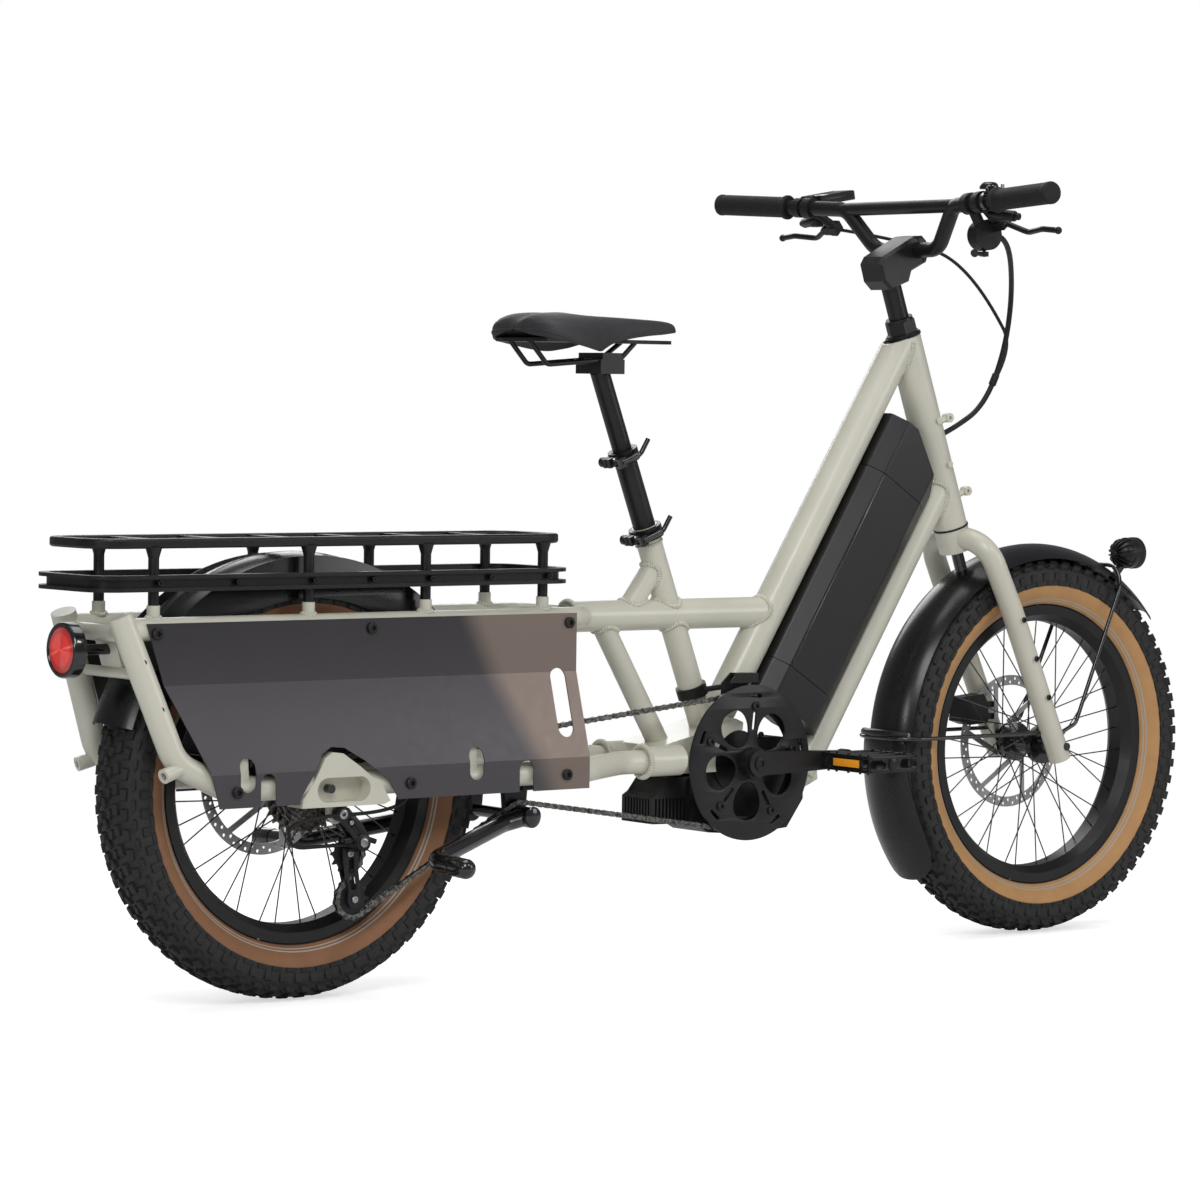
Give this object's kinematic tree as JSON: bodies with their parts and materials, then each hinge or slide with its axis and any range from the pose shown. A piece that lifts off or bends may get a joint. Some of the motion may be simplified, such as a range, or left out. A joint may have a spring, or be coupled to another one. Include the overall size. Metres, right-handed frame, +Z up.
{
  "type": "cargo bicycle",
  "caption": "Long-tail electric cargo bicycle with a step-through frame, rear rack, folded side panels, mid motor, bay battery, twin kickstand and disc brakes",
  "frame": {"origin": "on the ground under the middle of the bicycle: midway between the rack channel's rear end and the front tyre's front, in the middle plane", "axes": "+X forward along the bicycle, +Y to the rider's left, +Z up"},
  "size_m": [1.982, 0.721, 1.1102],
  "materials": {
    "frame_paint": "satin",
    "black_paint": "satin",
    "panel_paint": "satin",
    "black_steel": "gloss",
    "dark_bolt": "satin",
    "silver_steel": "satin",
    "chain_steel": "satin",
    "tyre_rubber": "matte",
    "grip_rubber": "matte",
    "cable_rubber": "satin",
    "black_plastic": "matte",
    "gloss_plastic": "gloss",
    "red_lens": "gloss",
    "saddle_cover": "matte"
  },
  "bodies": {
    "frame": {"main_frame": "frame_paint", "rear_frame": "frame_paint", "rack": "black_paint", "rack_channel": "black_paint", "side_panels": "panel_paint", "panel_bolts": "dark_bolt", "rear_fender": "black_paint", "tail_lamp_housing": "gloss_plastic", "tail_lamp_lens": "red_lens", "motor_unit": "black_paint", "battery_covers": "black_plastic", "chain_guide": "black_plastic", "chain": "chain_steel", "kickstand_bracket": "black_paint", "rear_caliper": "black_paint", "seat_collar_lower": "black_paint", "derailleur": "black_paint", "derailleur_cable": "cable_rubber"},
    "battery": {"battery": "black_plastic"},
    "steering": {"fork": "frame_paint", "front_fender": "black_paint", "fender_stays": "black_steel", "headlamp": "black_plastic", "stem": "black_paint", "handlebar": "black_paint", "grips": "grip_rubber", "brake_perches": "black_plastic", "shifter": "black_plastic", "display": "black_plastic", "bell": "gloss_plastic", "front_caliper": "black_paint", "cable_loom": "cable_rubber"},
    "front_wheel": {"front_tyre": "tyre_rubber", "front_rim": "black_paint", "front_hub": "black_steel", "front_rotor": "silver_steel"},
    "rear_wheel": {"rear_tyre": "tyre_rubber", "rear_rim": "black_paint", "rear_hub": "black_steel", "rear_rotor": "silver_steel"},
    "crankset": {"crank_right": "black_paint", "crank_left": "black_paint", "chain_guard": "black_paint", "chainring": "dark_bolt"},
    "pedal_right": {"pedal_right": "black_paint"},
    "pedal_left": {"pedal_left": "black_paint"},
    "cassette": {"cassette": "chain_steel"},
    "jockey_upper": {"jockey_upper": "black_plastic"},
    "jockey_lower": {"jockey_lower": "black_plastic"},
    "kickstand": {"kickstand": "black_steel"},
    "brake_lever_right": {"brake_lever_right": "black_paint"},
    "brake_lever_left": {"brake_lever_left": "black_paint"},
    "shift_lever": {"shift_lever": "black_plastic"},
    "bell_striker": {"bell_striker": "silver_steel"},
    "post_lower": {"seatpost_lower": "black_paint", "seat_collar_upper": "black_paint"},
    "post_upper": {"seatpost_upper": "black_paint", "saddle": "saddle_cover"},
    "qr_lever_lower": {"qr_lever_lower": "black_steel"},
    "qr_lever_upper": {"qr_lever_upper": "black_steel"}
  },
  "joints": [
    {"name": "steering", "type": "hinge", "parent": "frame", "child": "steering", "pos_m": [0.48736, 0, 0.75414], "axis": [-0.3404, 0, 0.9403], "range_deg": [-55, 55]},
    {"name": "front_wheel_spin", "type": "hinge", "parent": "steering", "child": "front_wheel", "pos_m": [0.707, 0, 0.284], "axis": [0, 1, 0], "continuous": true},
    {"name": "rear_wheel_spin", "type": "hinge", "parent": "frame", "child": "rear_wheel", "pos_m": [-0.641, 0, 0.284], "axis": [0, 1, 0], "continuous": true},
    {"name": "crank_spin", "type": "hinge", "parent": "frame", "child": "crankset", "pos_m": [0.097, 0, 0.285], "axis": [0, 1, 0], "continuous": true},
    {"name": "pedal_right_spin", "type": "hinge", "parent": "crankset", "child": "pedal_right", "pos_m": [0.26, -0.14, 0.285], "axis": [0, 1, 0], "continuous": true},
    {"name": "pedal_left_spin", "type": "hinge", "parent": "crankset", "child": "pedal_left", "pos_m": [-0.066, 0.14, 0.285], "axis": [0, 1, 0], "continuous": true},
    {"name": "cassette_spin", "type": "hinge", "parent": "frame", "child": "cassette", "pos_m": [-0.641, -0.046, 0.284], "axis": [0, 1, 0], "continuous": true},
    {"name": "jockey_upper_spin", "type": "hinge", "parent": "frame", "child": "jockey_upper", "pos_m": [-0.589, -0.06, 0.194], "axis": [0, 1, 0], "continuous": true},
    {"name": "jockey_lower_spin", "type": "hinge", "parent": "frame", "child": "jockey_lower", "pos_m": [-0.581, -0.06, 0.133], "axis": [0, 1, 0], "continuous": true},
    {"name": "kickstand_swing", "type": "hinge", "parent": "frame", "child": "kickstand", "pos_m": [-0.306, 0, 0.229], "axis": [0, -1, 0], "range_deg": [0, 95]},
    {"name": "brake_lever_right_pull", "type": "hinge", "parent": "steering", "child": "brake_lever_right", "pos_m": [0.45465, -0.19134, 1.05348], "axis": [-0.6897, 0.0798, -0.7197], "range_deg": [0, 14], "stiffness_Nm_per_rad": 0.6, "springref_deg": -8.59},
    {"name": "brake_lever_left_pull", "type": "hinge", "parent": "steering", "child": "brake_lever_left", "pos_m": [0.45465, 0.19134, 1.05348], "axis": [0.6897, 0.0798, 0.7197], "range_deg": [0, 14], "stiffness_Nm_per_rad": 0.6, "springref_deg": -8.59},
    {"name": "shift_lever_press", "type": "hinge", "parent": "steering", "child": "shift_lever", "pos_m": [0.44831, -0.15684, 1.00889], "axis": [0, 0, -1], "range_deg": [0, 20], "stiffness_Nm_per_rad": 0.1, "springref_deg": -5.73},
    {"name": "bell_striker_flick", "type": "hinge", "parent": "steering", "child": "bell_striker", "pos_m": [0.42155, -0.20416, 1.09687], "axis": [1, 0, 0], "range_deg": [0, 15], "stiffness_Nm_per_rad": 0.02, "springref_deg": -5.73},
    {"name": "seatpost_lower_slide", "type": "slide", "parent": "frame", "child": "post_lower", "axis": [-0.3633, 0, 0.9317], "range_m": [-0.07, 0.03]},
    {"name": "seatpost_upper_slide", "type": "slide", "parent": "post_lower", "child": "post_upper", "axis": [-0.3633, 0, 0.9317], "range_m": [-0.09, 0.03]},
    {"name": "qr_lever_lower_open", "type": "hinge", "parent": "frame", "child": "qr_lever_lower", "pos_m": [-0.06934, -0.02, 0.59778], "axis": [0.3633, 0, -0.9317], "range_deg": [0, 80]},
    {"name": "qr_lever_upper_open", "type": "hinge", "parent": "post_lower", "child": "qr_lever_upper", "pos_m": [-0.10925, -0.02, 0.70607], "axis": [0.3633, 0, -0.9317], "range_deg": [0, 80]},
    {"name": "battery_slide", "type": "slide", "parent": "frame", "child": "battery", "axis": [0, -1, 0], "range_m": [0, 0.1]}
  ],
  "couplings": [
    {"joint": "cassette_spin", "follows": "crank_spin", "ratio": 4},
    {"joint": "jockey_upper_spin", "follows": "crank_spin", "ratio": -4},
    {"joint": "jockey_lower_spin", "follows": "crank_spin", "ratio": 4}
  ]
}
